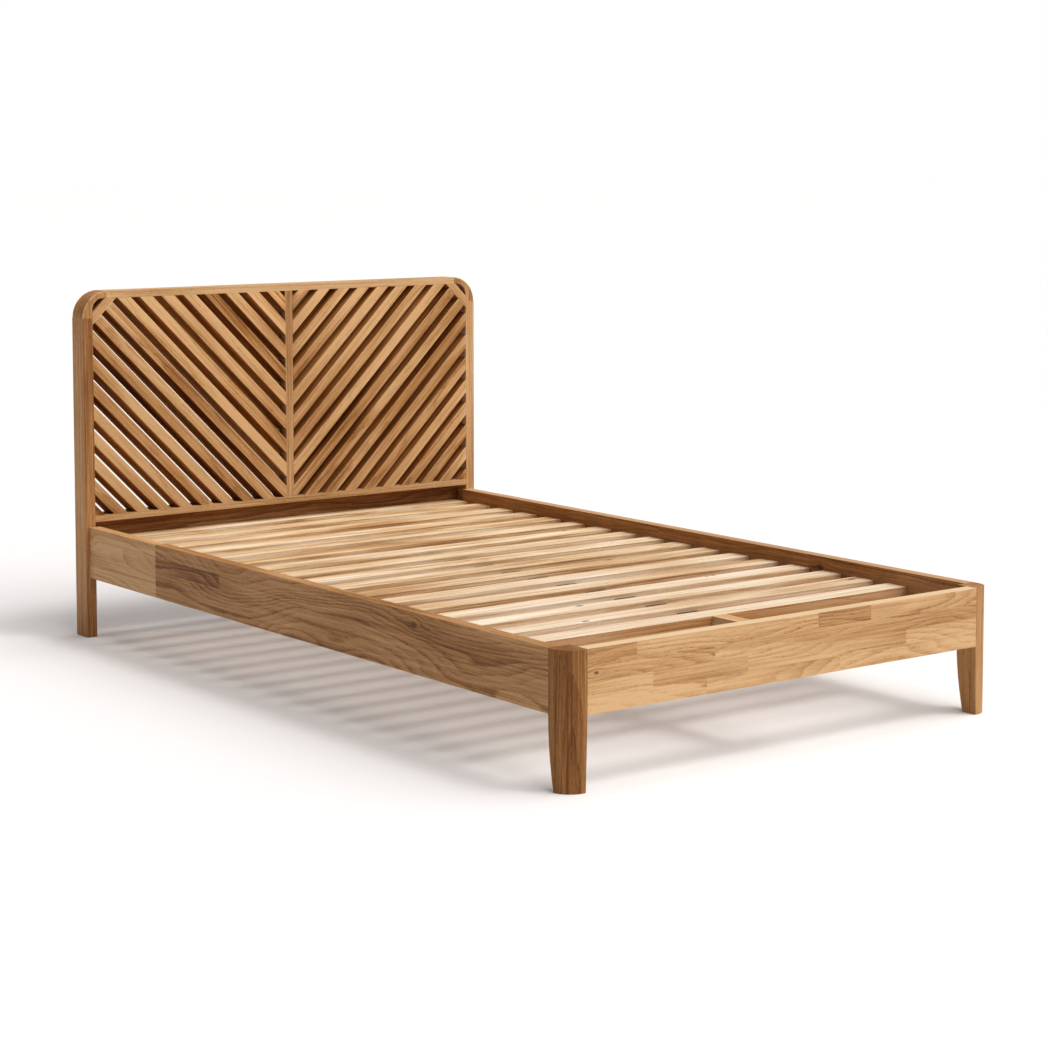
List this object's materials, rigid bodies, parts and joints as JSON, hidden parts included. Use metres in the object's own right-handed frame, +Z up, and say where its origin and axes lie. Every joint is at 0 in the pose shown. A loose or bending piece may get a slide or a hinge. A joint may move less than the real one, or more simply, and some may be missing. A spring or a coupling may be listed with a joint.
{
  "type": "bed frame",
  "caption": "Solid wood bed frame with a lattice headboard of diagonal slats, rounded top corners, side rails on hook fittings, and cross slats that carry a mattress.",
  "frame": {"origin": "middle of the footprint, on the floor", "axes": "+X to the right seen from the foot end, +Y along the bed from foot to headboard, +Z up"},
  "size_m": [1.292, 2.14, 0.936],
  "materials": {
    "oak_post": "oiled oak, satin, edge-glued staves",
    "oak_dark": "oiled oak, satin, darker boards",
    "oak_light": "oiled oak, satin",
    "lattice_oak": "oiled oak, satin",
    "support_wood": "planed, unfinished",
    "slat_wood": "planed, pale, unfinished",
    "spacer_wood": "dark stained, matt",
    "dowel_wood": "turned beech",
    "fitting_steel": "zinc plated"
  },
  "bodies": {
    "root": {"head_post_left": "oak_post", "head_post_right": "oak_post", "head_corner_left": "oak_dark", "head_corner_right": "oak_dark", "head_top_rail": "oak_light", "lattice_bottom_rail": "oak_light", "centre_muntin": "oak_light", "corner_braces": "oak_light", "head_rail": "oak_dark", "side_rail_left": "oak_post", "side_rail_right": "oak_post", "foot_rail": "oak_post", "foot_leg_left": "oak_dark", "foot_leg_right": "oak_dark", "slat_ledgers": "support_wood", "centre_beam": "support_wood", "centre_leg": "support_wood", "slat_spacers": "spacer_wood", "slat_pegs": "dowel_wood", "rail_hook_plates": "fitting_steel", "rail_catch_plates": "fitting_steel", "screws": "fitting_steel", "dowels": "dowel_wood", "lattice_slat_01": "lattice_oak", "lattice_slat_02": "lattice_oak", "lattice_slat_03": "lattice_oak", "lattice_slat_04": "lattice_oak", "lattice_slat_05": "lattice_oak", "lattice_slat_06": "lattice_oak", "lattice_slat_07": "lattice_oak", "lattice_slat_08": "lattice_oak", "lattice_slat_09": "lattice_oak", "lattice_slat_10": "lattice_oak", "lattice_slat_11": "lattice_oak", "lattice_slat_12": "lattice_oak", "lattice_slat_13": "lattice_oak", "lattice_slat_14": "lattice_oak", "lattice_slat_15": "lattice_oak", "lattice_slat_16": "lattice_oak", "lattice_slat_17": "lattice_oak", "lattice_slat_18": "lattice_oak", "cross_slat_01": "slat_wood", "cross_slat_02": "slat_wood", "cross_slat_03": "slat_wood", "cross_slat_04": "slat_wood", "cross_slat_05": "slat_wood", "cross_slat_06": "slat_wood", "cross_slat_07": "slat_wood", "cross_slat_08": "slat_wood", "cross_slat_09": "slat_wood", "cross_slat_10": "slat_wood", "cross_slat_11": "slat_wood", "cross_slat_12": "slat_wood", "cross_slat_13": "slat_wood", "cross_slat_14": "slat_wood", "cross_slat_15": "slat_wood", "cross_slat_16": "slat_wood", "cross_slat_17": "slat_wood"}
  },
  "joints": []
}
